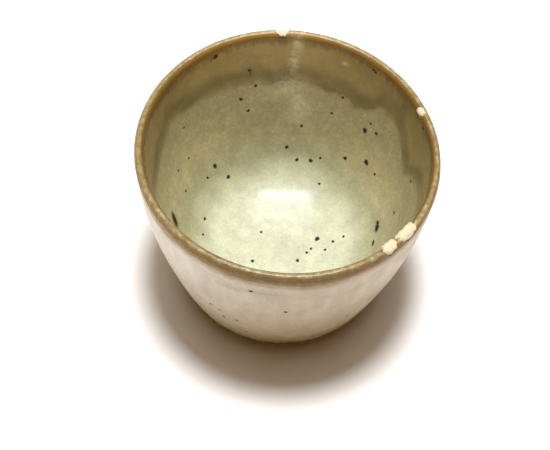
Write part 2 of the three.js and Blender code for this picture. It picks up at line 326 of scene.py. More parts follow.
def section_of(sizes):
    """The clay's section as closely spaced points: how far along each is, its radius, height and outward
    normal.

    Outside, the radius is a straight taper plus a parabola that is highest at mid height. Inside, it is the
    same less a wall that thickens towards the foot. The lip is half an ellipse, the well a quarter of a
    superellipse, and the foot is straight lines, whose corners a running average rounds off.
    """
    height, crown = sizes.cup_height, sizes.lip_crown

    def outside(z):
        t = z / height
        return sizes.heel_radius + (sizes.lip_radius - sizes.heel_radius) * t + sizes.belly * 4 * t * (1 - t)

    def inside(z):
        return outside(z) - sizes.lip_wall - (sizes.heel_wall - sizes.lip_wall) * (1 - z / height) ** 1.5

    lip_base = height - crown
    foot_outer = outside(sizes.bevel_height) - sizes.bevel_width
    foot_inner = foot_outer - sizes.foot_ring
    hollow = foot_inner - sizes.hollow_slope
    up = np.linspace(sizes.bevel_height, lip_base, 400)
    over = np.linspace(0, np.pi, 60)[1:-1]
    middle = (outside(lip_base) + inside(lip_base)) / 2
    half_lip = (outside(lip_base) - inside(lip_base)) / 2
    well_top = sizes.floor_height + sizes.well_depth
    down = np.linspace(lip_base, well_top, 200)
    turn_in = np.linspace(np.pi / 2, 0, 400)[1:]
    power = 2 / sizes.well_squareness
    well = sizes.floor_height + sizes.well_depth * (1 - np.clip(np.cos(turn_in), 0, 1) ** power)
    radius = np.concatenate([
        [0, hollow, foot_inner, foot_outer],
        outside(up), middle + half_lip * np.cos(over), inside(down), inside(well) * np.sin(turn_in) ** power,
    ])
    level = np.concatenate([
        [sizes.hollow_depth, sizes.hollow_depth, 0, 0], up, lip_base + crown * np.sin(over), down, well,
    ])
    step = 0.05 * MM
    run = np.concatenate([[0], np.cumsum(np.hypot(np.diff(radius), np.diff(level)))])
    along = np.linspace(0, run[-1], int(run[-1] / step))
    radius, level = np.interp(along, run, radius), np.interp(along, run, level)
    half = 4
    average = np.ones(2 * half + 1) / (2 * half + 1)
    for line in (radius, level, radius, level):
        line[half:-half] = np.convolve(line, average, "valid")
    slope_r, slope_z = np.gradient(radius, along), np.gradient(level, along)
    size = np.hypot(slope_r, slope_z)
    crest = along[np.argmax(level)]
    outer_wall = (along < crest) & (radius > foot_outer)
    return SimpleNamespace(
        along=along, radius=radius, level=level, normal_r=slope_z / size, normal_z=-slope_r / size,
        crest=crest, end=along[-1], hollow=hollow,
        outside_at=lambda z: np.interp(z, level[outer_wall], along[outer_wall]),
    )


def waves(along, turn, *, seed, count, around, reach):
    """A gentle random relief between about -1 and 1: a sum of cosine waves of whole numbers round the cup and
    random lengths along it, no shorter than reach, each with its own random phase."""
    chance = np.random.default_rng(seed)
    total = np.zeros(np.broadcast(along, turn).shape)
    for _ in range(count):
        whole = chance.integers(0, around + 1)
        pace = chance.uniform(-1, 1) * 2 * np.pi / reach
        total += np.cos(whole * turn + pace * along + chance.uniform(0, 2 * np.pi))
    return total / math.sqrt(count)


def relief(section, sizes, along, turn):
    """How far the potter's hands left the clay from the true section: slow unevenness, plus rings that climb
    the wall in a spiral and fade at the lip, the foot and both middles."""
    from_crest, to_middle = along - section.crest, section.end - along
    outer = faded(-from_crest, 6 * MM) * faded(along - section.outside_at(4 * MM), 6 * MM)
    inner = faded(from_crest, 6 * MM) * faded(to_middle, 3 * MM)
    drift = waves(along, turn, seed=3, count=5, around=3, reach=40 * MM)
    rings = np.sin(2 * np.pi * along / sizes.ring_spacing + turn + 1.2 * drift)
    rings += 0.4 * np.sin(2 * np.pi * along / (sizes.ring_spacing * 0.61) + turn + 2 * drift)
    slow = 0.07 * MM * waves(along, turn, seed=5, count=7, around=4, reach=25 * MM)
    slow = slow * faded(along - section.outside_at(2 * MM), 5 * MM) * faded(to_middle, 9 * MM)
    wall = 1 - eased((from_crest - 22 * MM) / (14 * MM))
    return slow + sizes.ring_depth * rings * (outer + 0.5 * inner * wall)


def flaking(section, along, turn, radius):
    """How far each place is inside a flake, and how far the rough clay stands out there. Each flake is a boxy
    oval with a ragged edge: the share is 1 on its middle, 0 on its edge and below 0 outside, and the clay rises
    steeply from the edge to a rippled top that is fullest on the lip's inner shoulder."""
    share = np.full(np.broadcast(along, turn).shape, -9.0)
    height = np.zeros(share.shape)
    from_crest = along - section.crest
    shoulder = 1 + 1.4 * np.exp(-(((from_crest - 1.0 * MM) / (0.8 * MM)) ** 2))
    for k, (angle, span, width, stand, inward) in enumerate(LIP_FLAKES):
        across = (from_crest - inward) / (width / 2)
        lengthwise = (turn - angle) * radius / (span / 2)
        bearing = np.arctan2(across, lengthwise)
        ragged = 1 + 0.09 * np.sin(3 * bearing + k) + 0.06 * np.sin(7 * bearing + 2 * k)
        ragged = ragged + 0.03 * np.sin(13 * bearing)
        inside = 1 - (np.abs(across) ** 3 + np.abs(lengthwise) ** 3) ** (1 / 3) / ragged
        share = np.maximum(share, inside)
        ripples = 1 + 0.16 * np.sin(5 * across + 6 * lengthwise + k) * np.sin(4 * lengthwise + 2 * k)
        height = np.maximum(height, stand * np.sqrt(np.clip(inside * 4, 0, 1)) * shoulder * ripples)
    return share, height


def placed(section, sizes, along, turn, lift):
    """Points of the cup: the section's point, moved out by lift along its normal, turned about the axis, with
    the radius stretched by a cosine of twice the angle and the lip raised by one wave of twice the angle and
    one of once."""
    radius, level, normal_r, normal_z = (
        np.interp(along, section.along, line)
        for line in (section.radius, section.level, section.normal_r, section.normal_z)
    )
    radius, level = radius + lift * normal_r, level + lift * normal_z
    share = level / sizes.cup_height
    radius = np.maximum(radius, 0) * (1 + sizes.ovality * share * np.cos(2 * (turn - sizes.oval_direction)))
    rise = -sizes.lip_wave * np.cos(2 * turn) - sizes.lip_slant * np.cos(turn)
    return np.stack([radius * np.cos(turn), radius * np.sin(turn), level + rise * share**4], axis=-1)


def turns_of(sizes):
    """Angles round the cup, about three times closer together where the lip is flaked."""
    fine = np.linspace(-np.pi, np.pi, 4000)
    weight = np.ones(fine.shape)
    for angle, span, *_ in LIP_FLAKES:
        weight += 2.5 * np.exp(-(((fine - angle) * sizes.lip_radius / span) ** 2))
    total = np.concatenate([[0], np.cumsum((weight[1:] + weight[:-1]) / 2)])
    return np.interp(np.linspace(0, total[-1], sizes.around + 1)[:-1], total, fine)[None, :]


def eased(x):
    """0 below 0, 1 above 1, and a smooth S between."""
    x = np.clip(x, 0, 1)
    return x * x * (3 - 2 * x)


def faded(distance, reach):
    """0 before a line, 1 from reach past it on, and a straight rise between."""
    return np.clip(distance / reach, 0, 1)


def new_object(name, points, quads, triangles, attributes):
    """A smooth mesh object from corner points, four- and three-sided faces and values at the points."""
    mesh = bpy.data.meshes.new(name)
    corners = np.concatenate([quads.ravel(), triangles.ravel()]).astype(np.int32)
    sides = np.concatenate([np.full(len(quads), 4), np.full(len(triangles), 3)])
    starts = np.concatenate([[0], np.cumsum(sides)[:-1]]).astype(np.int32)
    mesh.vertices.add(len(points))
    mesh.vertices.foreach_set("co", points.astype(np.float32).ravel())
    mesh.loops.add(len(corners))
    mesh.loops.foreach_set("vertex_index", corners)
    mesh.polygons.add(len(sides))
    mesh.polygons.foreach_set("loop_start", starts)
    mesh.polygons.foreach_set("use_smooth", np.ones(len(sides), bool))
    mesh.update(calc_edges=True)
    for label, values in attributes.items():
        carried = mesh.attributes.new(label, "FLOAT", "POINT")
        carried.data.foreach_set("value", values.astype(np.float32).ravel())
    thing = bpy.data.objects.new(name, mesh)
    bpy.context.scene.collection.objects.link(thing)
    return thing


def turned(name, points, attributes, poles):
    """A closed mesh from a grid of rows of points that run round the axis. With poles, the first and last rows
    are each one point on the axis, fanned to the next row. Without, the last row joins the first."""
    rows, around, _ = points.shape
    index = np.arange(rows * around).reshape(rows, around)
    ahead = np.roll(index, -1, axis=1)
    if not poles:
        index, ahead = np.vstack([index, index[:1]]), np.vstack([ahead, ahead[:1]])
        quads = np.stack([index[:-1], ahead[:-1], ahead[1:], index[1:]], axis=-1).reshape(-1, 4)
        return new_object(name, points.reshape(-1, 3), quads, np.zeros((0, 3), int), attributes)
    index, ahead = index - around + 1, ahead - around + 1
    quads = np.stack([index[1:-2], ahead[1:-2], ahead[2:-1], index[2:-1]], axis=-1).reshape(-1, 4)
    last = np.full(around, (rows - 2) * around + 1)
    first_fan = np.stack([0 * last, ahead[1], index[1]], axis=-1)
    last_fan = np.stack([last, index[-2], ahead[-2]], axis=-1)
    flat = np.vstack([points[0, :1], points[1:-1].reshape(-1, 3), points[-1, :1]])
    kept = {
        label: np.concatenate([v[0, :1], v[1:-1].ravel(), v[-1, :1]]) for label, v in attributes.items()
    }
    return new_object(name, flat, quads, np.vstack([first_fan, last_fan]), kept)


def make_piece(scene, section, node, along, turn, lift, material, poles):
    """Turns rows of places on the cup, each lifted off the clay's section, into a closed piece that takes the
    place of a node of the frame."""
    points = placed(section, scene.soba_sizes, along, turn, lift)
    piece = turned(f"{node}_finish", points, marks(section, scene, along, turn), poles)
    piece.data.materials.append(material)
    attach(piece, "root")
    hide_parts(node)


def marks(section, scene, along, turn):
    """What the coats' colour follows: in millimetres, the distance from the lip's crest, below 0 outside the
    cup, past the end of the run slip in the well, and above the end of the milky glaze; and from 0 to 1, how
    much each place lies in the patches, and by how much painted light and shade make the well's wall lighter
    or darker."""
    sizes = scene.soba_sizes
    edge, foot = run_end(section, turn), glaze_foot(section, sizes, turn)
    inside = along > section.crest
    well, wall = (section.crest + 4 * MM, section.end), (section.outside_at(6 * MM), section.crest)
    shape = np.broadcast(along, turn).shape
    return {
        "from_lip": np.broadcast_to((along - section.crest) / MM, shape),
        "past_run": np.where(inside, (along - edge) / MM, FAR_OFF) + np.zeros(shape),
        "from_foot": np.where(inside, FAR_OFF, (along - foot) / MM) + np.zeros(shape),
        "pale": 0.95 * patched(section, *well, along, turn, PALE_PATCHES) * inside,
        "green": 0.8 * patched(section, *well, along, turn, GREEN_PATCHES) * inside,
        "crisp": patched(section, *well, along, turn, CRISP_END),
        # painted light and shade on the well's wall, as a factor for its colour
        "lightness": 1 + inside * sum(
            share * patched(section, *well, along, turn, [patch]) for *patch, share in PAINTED_LIGHT_AND_SHADE
        ),
        "smear": 0.25 * patched(section, *wall, along, turn, SMEARS) * ~inside,
    }


def patched(section, low, high, along, turn, patches):
    """How much each place lies in one of the patches, which the camera sees between two distances along the
    section: 1 in a patch's middle, fading as a bell curve."""
    radius = np.interp(along, section.along, section.radius)
    share = np.zeros(np.broadcast(along, turn).shape)
    places = places_seen(low, high, patches)
    for (at_along, at_turn), (_, _, wide, tall) in zip(places, patches):
        round_way = (turn - at_turn + np.pi) % WHOLE_TURN - np.pi
        gap = (round_way * radius / (wide * MM)) ** 2 + ((along - at_along) / (tall * MM)) ** 2
        share = np.maximum(share, np.exp(-gap))
    return share


def run_end(section, turn):
    """How far along the section the run slip ends in the well: through the places that the photograph shows,
    and round the unseen front in a slow wave."""
    seen = places_seen(section.crest + 4 * MM, section.end, DRIP_LINE)
    hidden_turn = np.linspace(-2.5, -0.7, 7)
    hidden = section.crest + (12 + 2.5 * np.sin(5 * hidden_turn)) * MM
    at_turn, at_along = np.append(seen[:, 1], hidden_turn), np.append(seen[:, 0], hidden)
    order = np.argsort(at_turn)
    return np.interp(turn, at_turn[order], at_along[order], period=WHOLE_TURN)


def slip_edges(section, sizes, turn):
    """Where the iron slip ends outside and inside, each a wandering line round the cup."""
    wander = 0.5 * MM
    outer = section.crest - sizes.lip_crown - sizes.slip_outside - wander * np.sin(3 * turn + 0.4)
    inner = section.crest + sizes.lip_crown + sizes.slip_inside + wander * np.cos(4 * turn)
    return outer, inner


def glaze_foot(section, sizes, turn):
    """Where the outside glaze ends above the foot: a line that dips and rises in long and short waves."""
    level = sizes.glaze_line + 0.6 * MM * (0.6 * np.sin(2 * turn + 2) + 0.4 * np.sin(5 * turn))
    level = level + 0.12 * MM * waves(0, turn, seed=11, count=8, around=40, reach=1)
    return section.outside_at(level)


def flaked_lift(section, sizes, along, turn, clay, coat):
    """Lift of a coat over the clay's relief, sunk out of sight where it has flaked off."""
    share, height = flaking(section, along, turn, sizes.lip_radius)
    edge = 0.03
    gone = eased((share + edge) / (2 * edge))
    return clay + coat * (1 - gone) + gone * (height - HIDDEN)


def well_glaze(section, sizes, along):
    """Thickness of the glaze in the well: even on the wall, and deeper where it pooled on the floor."""
    return sizes.glaze + sizes.pooled_glaze * eased((along - section.crest - POOL_START) / POOL_START)


def add_node(tree, kind, inputs=(), **settings):
    """Adds a node, sets its attributes, and gives its inputs, by name or number, a value or a link."""
    made = tree.nodes.new(kind)
    for key, value in settings.items():
        setattr(made, key, value)
    for key, value in dict(inputs).items():
        if isinstance(value, bpy.types.NodeSocket):
            tree.links.new(value, made.inputs[key])
        else:
            made.inputs[key].default_value = value
    return made


def new_material(name):
    """An empty node material and its tree."""
    material = bpy.data.materials.new(name)
    material.use_nodes = True
    material.node_tree.nodes.clear()
    return material, material.node_tree


def read_surface(tree, clouds, swings, marked):
    """What a coat's colour and relief follow, by name: the place on the piece, its part from front to back and
    up, the cloudy patterns, and what the mesh carries at its points."""
    spot = add_node(tree, "ShaderNodeTexCoord").outputs["Object"]
    parts = add_node(tree, "ShaderNodeSeparateXYZ", {0: spot}).outputs
    found = {"spot": spot, "forward": parts["Y"], "level": parts["Z"]}
    for name, (wide, high, detail, roughness) in {**clouds, **swings}.items():
        scaled = add_node(
            tree, "ShaderNodeMapping", {"Vector": spot, "Scale": (1 / wide, 1 / wide, 1 / high)}
        ).outputs[0]
        found[name] = add_node(
            tree, "ShaderNodeTexNoise",
            {"Vector": scaled, "Scale": 1.0, "Detail": detail, "Roughness": roughness},
        ).outputs["Fac"]
        if name in swings:
            centred = add_node(tree, "ShaderNodeMath", {0: found[name], 1: 0.5}, operation="SUBTRACT")
            found[name] = centred.outputs[0]
    for name in marked:
        found[name] = add_node(tree, "ShaderNodeAttribute", attribute_name=name).outputs["Fac"]
    return SimpleNamespace(**found)


def worked_out(tree, *terms):
    """A sum of products. Each term lists its factors: a number, a socket, or a smooth step, which is a tuple of
    a socket, the two values of it between which the step goes, and, if not 0 and 1, what it goes from and
    to."""
    total = None
    for term in terms:
        product = None
        for factor in term:
            if isinstance(factor, tuple):
                value, low, high, bottom, top = (*factor, 0.0, 1.0)[:5]
                factor = add_node(
                    tree, "ShaderNodeMapRange", {"Value": value, 1: low, 2: high, 3: bottom, 4: top},
                    interpolation_type="SMOOTHSTEP",
                ).outputs[0]
            product = factor if product is None else add_node(
                tree, "ShaderNodeMath", {0: product, 1: factor}, operation="MULTIPLY"
            ).outputs[0]
        total = product if total is None else add_node(
            tree, "ShaderNodeMath", {0: total, 1: product}, operation="ADD"
        ).outputs[0]
    return total


def laid_over(tree, base, layers):
    """A base colour with others laid over it in turn, each as much as the product of its factors says."""
    for shade, *factors in layers:
        base = add_node(
            tree, "ShaderNodeMix", {0: worked_out(tree, factors), 6: base, 7: shade}, data_type="RGBA"
        ).outputs[2]
    return base


def glaze_colour(tree, colours, at):
    """Colour of glaze and slip by distance from the lip's crest, the same on every coat, so they melt into each
    other: brown slip with a brushed edge, thin and tan on the crest, where its pale line is partly painted
    highlight, milky outside and darker towards the foot partly with painted shade, and inside taupe down to
    the scalloped end of the run slip, then khaki with cream grains, celadon and the pale pool."""
    away = add_node(tree, "ShaderNodeMath", {0: at.from_lip}, operation="ABSOLUTE").outputs[0]

    # The bands' edges wander, least near the crest, and the slip's edge inside is brushed out in strokes
    calm = (away, 0.5, 9.0, 0.16, 1.0)
    strayed = worked_out(
        tree, [at.from_lip], [at.dip, 7.0, calm], [at.creep, 2.4, calm],
        [at.bristles, (at.from_lip, -1.0, 2.0, 0.8, 5.5), (away, 14.0, 7.0)],
    )
    place = add_node(tree, "ShaderNodeMapRange", {"Value": strayed, 1: -BAND_REACH, 2: BAND_REACH}).outputs[0]
    bands = add_node(tree, "ShaderNodeValToRGB", {"Fac": place})
    stops = bands.color_ramp.elements
    while len(stops) < len(GLAZE_BANDS):
        stops.new(0.5)
    for stop, (from_lip, name) in zip(stops, GLAZE_BANDS):
        stop.position = (from_lip + BAND_REACH) / (2 * BAND_REACH)
        stop.color = getattr(colours, name)

    # The slip is thin along the crest, in a broken line that is twice as wide at the front, 41 mm off, as at
    # the back. The line's pale colour is partly a painted highlight of the lamps' glints on the lip, and its
    # widening towards the front is all painted highlight.
    line = worked_out(tree, [at.from_lip], [at.creep, 0.6])
    off_line = add_node(tree, "ShaderNodeMath", {0: line}, operation="ABSOLUTE").outputs[0]
    glint_half_width = worked_out(tree, [at.forward, -0.2 / (41 * MM)], [0.6])
    crest_and_painted_glint = worked_out(tree, [(off_line, glint_half_width, 0.1), (at.worn, 0.36, 0.56, 0.3, 0.95)])

    # The run slip ends softly, but crisply where it met thick glaze
    past = worked_out(tree, [at.past_run], [at.creep, 2.6])
    soft, crisp = worked_out(tree, [(past, 2.6, -3.0)]), worked_out(tree, [(past, 0.6, -0.3)])
    run_edge = add_node(tree, "ShaderNodeMix", {0: at.crisp, 2: soft, 3: crisp}).outputs[0]
    above_foot = worked_out(tree, [at.from_foot], [at.creep, 8.0])

    shade = laid_over(tree, bands.outputs[0], [
        # The pale crest line: partly thin slip, partly a painted highlight of the lamps' glints
        (colours.crest, crest_and_painted_glint),
        (colours.cream, crest_and_painted_glint, (at.worn, 0.54, 0.66, 0.0, 0.5)),  # rubbed through to the clay in places
        # Clean green glaze from the end of the run on
        (colours.khaki, (at.from_lip, 4.0, 6.0), (at.from_lip, 26.0, 22.0), (past, 0.0, 2.2)),
        # The dark end of the run, where the slip gathered
        (colours.run, run_edge, (past, -7.5, -2.2, 0.0, 0.9), (at.thin_run, 0.3, 0.6, 0.45, 1.0)),
        (colours.grey_green, at.green, (past, 1.6, 0.2, 0.3, 1.0)),  # thick glaze that hangs on the run
        (colours.cream, at.pale, (at.clots, 0.22, 0.62)),  # milky clots where ash fell
        # Pale grains of ash, densest below the run, that fade out before the foot
        (colours.cream, (at.grains, 0.42, 0.72), (past, 0.5, 3.0), (past, 34.0, 8.0, 0.15, 0.4),
         (away, 86.0, 85.0)),
        # Streaks where the milky glaze ran thin outside
        (colours.thin_milky_and_painted_shade, 0.16, (at.drips, 0.35, 0.7), (at.from_lip, -4.0, -12.0)),
        (colours.smear, at.smear),
        (colours.toasted_clay, (above_foot, 3.5, 1.2, 0.0, 0.85)),  # the thin toasted end of the coat
    ])

    # Thicker and thinner glaze is darker and lighter, more so inside, with a sugary grain, and painted light
    # and shade on the well's wall lighten and darken it too
    darkest = worked_out(tree, [(at.from_lip, 0.0, 4.0, 0.93, 0.85)])
    light = worked_out(
        tree, [at.lightness, (at.clouds, 0.25, 0.75, darkest, 1.1), (at.sugar, 0.25, 0.75, 0.93, 1.06)]
    )
    shade = add_node(tree, "ShaderNodeVectorMath", {0: shade, "Scale": light}, operation="SCALE").outputs[0]

    # Fine iron specks in three places of ten. A real one can be 0.1 mm wide, too fine to show, so they are all
    # drawn half a millimetre wide
    specks = add_node(tree, "ShaderNodeTexVoronoi", {"Vector": at.spot, "Scale": 1 / SPECK_SPACING}).outputs
    drawn = add_node(tree, "ShaderNodeSeparateColor", {0: specks["Color"]}).outputs[0]
    return laid_over(tree, shade, [
        (colours.iron, (specks["Distance"], 0.09, 0.04, 0.0, 0.6), (drawn, SPECK_SHARE, SPECK_SHARE + 0.05)),
        (colours.iron, at.iron),
    ])


def glaze_material(name, colours, roughness, gloss, ripple, spacing):
    """Ash glaze: melted glass on stoneware, clear and glossy, with the slow ripple and the pinholes of a wood
    or gas firing. Its smoothness gives the clear shine, and the ripple breaks up what it reflects."""
    material, tree = new_material(name)
    ripples = {"ripples": (spacing, spacing, 2, 0.5)}
    at = read_surface(tree, {**GLAZE_CLOUDS, **ripples}, GLAZE_SWINGS, GLAZE_MARKS)
    rolling = add_node(tree, "ShaderNodeBump", {"Height": at.ripples, "Strength": 1.0, "Distance": ripple})
    # A pinhole is about 0.1 mm wide, too fine to show, so it is drawn 0.3 mm wide
    holes = add_node(tree, "ShaderNodeTexVoronoi", {"Vector": at.spot, "Scale": 1 / PINHOLE_SPACING}).outputs
    pitted = add_node(tree, "ShaderNodeBump", {
        "Height": worked_out(tree, [(holes["Distance"], 0.02, 0.09)]), "Strength": 0.2, "Distance": 0.03 * MM,
        "Normal": rolling.outputs[0],
    })
    # The fire dulls the gloss in patches, and the iron of a spot leaves it matt
    dulled = worked_out(tree, [(at.dulled, 0.3, 0.7, roughness * 0.8, roughness * 1.3)], [at.iron, 0.4])
    shader = add_node(tree, "ShaderNodeBsdfPrincipled", {
        "Base Color": glaze_colour(tree, colours, at), "Roughness": dulled, "Specular IOR Level": gloss,
        "Normal": pitted.outputs[0],
    })
    add_node(tree, "ShaderNodeOutputMaterial", {"Surface": shader.outputs[0]})
    return material


def clay_material(colours):
    """The clay where no coat covers it: pale where a flake opened it, and toasted brown by the kiln where it
    faces the fire at the foot."""
    # Bare fired stoneware takes the light like dry biscuit: no shine, and a fine shadow beside each grain
    material, tree = new_material("bare_stoneware")
    at = read_surface(tree, CLAY_CLOUDS, {}, ())
    burnt = laid_over(tree, colours.toasted_clay, [(colours.thin_milky_and_painted_shade, (at.scorch, 0.35, 0.7, 0.0, 0.6))])
    shade = laid_over(tree, colours.bare_clay, [
        (colours.crest, (at.grit, 0.4, 0.8, 0.0, 0.3)), (burnt, (at.level, 12 * MM, 5 * MM)),
    ])
    gritty = add_node(tree, "ShaderNodeBump", {"Height": at.grit, "Strength": 0.6, "Distance": 0.08 * MM})
    shader = add_node(tree, "ShaderNodeBsdfPrincipled", {
        "Base Color": shade, "Roughness": 0.8, "IOR": 1.5, "Normal": gritty.outputs[0],
    })
    add_node(tree, "ShaderNodeOutputMaterial", {"Surface": shader.outputs[0]})
    return material


class ClayBody(bpy.types.Operator):
    """Makes the thrown clay: hollow, foot ring, wall, lip with its flaked patches, and well"""

    bl_idname = "soba_cup.clay_body"
    bl_label = "Clay body"

    def execute(self, context):
        scene, sizes = context.scene, context.scene.soba_sizes
        section, turn = section_of(sizes), turns_of(sizes)
        # Rows lie closest on the foot and on the lip: each stretch starts at a place and has a number of rows
        lip, foot_end = section.crest, section.outside_at(5 * MM)
        starts = (0, section.hollow, foot_end, lip - 4 * MM, lip + 4 * MM, section.end)
        along = np.concatenate([
            np.linspace(start, end, count)[:-1]
            for start, end, count in zip(starts, starts[1:], (10, 60, 50, 60, 50))
        ] + [[section.end]])[:, None]
        lift = relief(section, sizes, along, turn) + flaking(section, along, turn, sizes.lip_radius)[1]
        stoneware = clay_material(scene.soba_colours)
        make_piece(scene, section, "clay_body", along, turn, lift, stoneware, poles=True)
        return {"FINISHED"}


class InsideGlaze(bpy.types.Operator):
    """Makes the green glaze in the well, from under the slip's edge to the middle of the floor"""

    bl_idname = "soba_cup.inside_glaze"
    bl_label = "Inside glaze"

    def execute(self, context):
        scene, sizes = context.scene, context.scene.soba_sizes
        section, turn = section_of(sizes), turns_of(sizes)
        start = slip_edges(section, sizes, turn)[1] - OVERLAP
        face = start + (section.end - start) * np.linspace(0, 1, 210)[:, None]
        clay = relief(section, sizes, face, turn)
        rise = eased((face - start) / OVERLAP)
        coat = well_glaze(section, sizes, face) * rise - HIDDEN * (1 - rise)
        seat = face[::-6]
        under = relief(section, sizes, seat, turn) - 2 * HIDDEN
        along = np.vstack([seat, face])
        lift = np.vstack([under, flaked_lift(section, sizes, face, turn, clay, coat)])
        # Green ash glaze, poured in and fired until it ran: a deep clear shine in which the window shows
        glaze = glaze_material(
            "green_ash_glaze", scene.soba_colours, roughness=0.13, gloss=0.3, ripple=0.05 * MM, spacing=4 * MM
        )
        make_piece(scene, section, "inside_glaze", along, turn, lift, glaze, poles=True)
        return {"FINISHED"}


class OutsideGlaze(bpy.types.Operator):
    """Makes the milky glaze outside, from its rolled edge above the foot to under the slip's edge"""

    bl_idname = "soba_cup.outside_glaze"
    bl_label = "Outside glaze"

    def execute(self, context):
        scene, sizes = context.scene, context.scene.soba_sizes
        section, turn = section_of(sizes), turns_of(sizes)
        start = glaze_foot(section, sizes, turn)
        end = slip_edges(section, sizes, turn)[0] + OVERLAP
        # Rows lie closest on the rolled edge, which is the first 3% of the way up
        share = np.concatenate([np.linspace(0, 0.03, 10)[:-1], np.linspace(0.03, 1, 190)])[:, None]
        face = start + (end - start) * share
        # The edge above the foot is a quarter round with a bead on it
        edge = 0.7 * MM
        near = faded(face - start, edge)
        roll = np.sqrt(near * (2 - near))
        bead = 0.15 * MM * np.exp(-(((face - start - 1.0 * MM) / edge) ** 2))
        coat = (sizes.glaze + HIDDEN) * roll * eased((end - face) / OVERLAP) + bead - HIDDEN
        seat = face[::-6]
        along = np.vstack([face, seat])
        under = relief(section, sizes, seat, turn) - 2 * HIDDEN
        lift = np.vstack([relief(section, sizes, face, turn) + coat, under])
        # Milky ash glaze, dipped and fired to satin: a soft broad sheen over a cloudy white
        glaze = glaze_material(
            "milky_ash_glaze", scene.soba_colours, roughness=0.35, gloss=0.35, ripple=0.04 * MM, spacing=9 * MM
        )
        make_piece(scene, section, "outside_glaze", along, turn, lift, glaze, poles=False)
        return {"FINISHED"}


class LipSlip(bpy.types.Operator):
    """Makes the iron slip that wraps the lip, broken by the flakes"""

    bl_idname = "soba_cup.lip_slip"
    bl_label = "Lip slip"

    def execute(self, context):
        scene, sizes = context.scene, context.scene.soba_sizes
        section, turn = section_of(sizes), turns_of(sizes)
        outer, inner = slip_edges(section, sizes, turn)
        start, end = outer - OVERLAP, inner + OVERLAP
        face = start + (end - start) * np.linspace(0, 1, 130)[:, None]
        fade = eased((face - start) / OVERLAP) * eased((end - face) / OVERLAP)
        coat = (sizes.glaze + HIDDEN) * fade - HIDDEN
        lift = flaked_lift(section, sizes, face, turn, relief(section, sizes, face, turn), coat)
        seat = face[::-4]
        under = relief(section, sizes, seat, turn) + flaking(section, seat, turn, sizes.lip_radius)[1]
        along, lift = np.vstack([face, seat]), np.vstack([lift, under - 2 * HIDDEN])
        # Iron slip brushed on under clear glaze: glossy and a little lumpy, so the lip glints in short dashes
        slip = glaze_material(
            "iron_slip_under_glaze", scene.soba_colours, roughness=0.16, gloss=0.5, ripple=0.09 * MM,
            spacing=1.5 * MM,
        )
        make_piece(scene, section, "lip_iron_slip", along, turn, lift, slip, poles=False)
        return {"FINISHED"}


class FootGlaze(bpy.types.Operator):
    """Makes the puddle of milky glaze in the hollow of the foot"""

    bl_idname = "soba_cup.foot_glaze"
    bl_label = "Foot glaze"

    def execute(self, context):
        scene, sizes = context.scene, context.scene.soba_sizes
        section, turn = section_of(sizes), turns_of(sizes)
        ragged = 0.25 * MM * waves(0, turn, seed=21, count=9, around=12, reach=1)
        edge = section.hollow - sizes.hollow_margin + ragged
        face = edge * np.linspace(0, 1, 50)[:, None]
        rounded = np.sqrt(faded(edge - face, 1.2 * MM))
        uneven = 0.03 * MM * waves(face, turn, seed=23, count=6, around=5, reach=9 * MM)
        coat = (sizes.glaze + HIDDEN) * rounded - HIDDEN + uneven * rounded * eased(face / (3 * MM))
        seat = face[::-4]
        seat[-1] = 0
        along = np.vstack([face, seat])
        lift = np.vstack([coat, np.full(seat.shape, -2 * HIDDEN)])
        # The milky glaze as a wiped puddle: smoother than on the wall, because it lay level in the kiln
        glaze = glaze_material(
            "milky_foot_glaze", scene.soba_colours, roughness=0.3, gloss=0.5, ripple=0.05 * MM, spacing=4 * MM
        )
        make_piece(scene, section, "foot_hollow_glaze", along, turn, lift, glaze, poles=True)
        return {"FINISHED"}


def camera_axes(studio):
    """The camera's right, up and back directions and its place: it looks along +Y and down by its elevation,
    and its right and up are turned about its back by the roll."""
    back = Vector((0, -math.cos(studio.elevation), math.sin(studio.elevation)))
    right, up = Vector((1, 0, 0)), back.cross(Vector((1, 0, 0)))
    across = right * math.cos(studio.roll) + up * math.sin(studio.roll)
    upward = up * math.cos(studio.roll) - right * math.sin(studio.roll)
    return across, upward, back, Vector(studio.aim) + back * studio.distance


def seen_at(studio, points):
    """Where the camera sees points, in the photograph's pixels."""
    across, upward, back, place = (np.array(axis) for axis in camera_axes(studio))
    away = points - place
    pixels = studio.lens / SENSOR_WIDTH * PHOTO_WIDTH / (-away @ back)
    return np.stack([
        PHOTO_WIDTH / 2 + pixels * (away @ across), PHOTO_HEIGHT / 2 - pixels * (away @ upward),
    ], axis=-1)


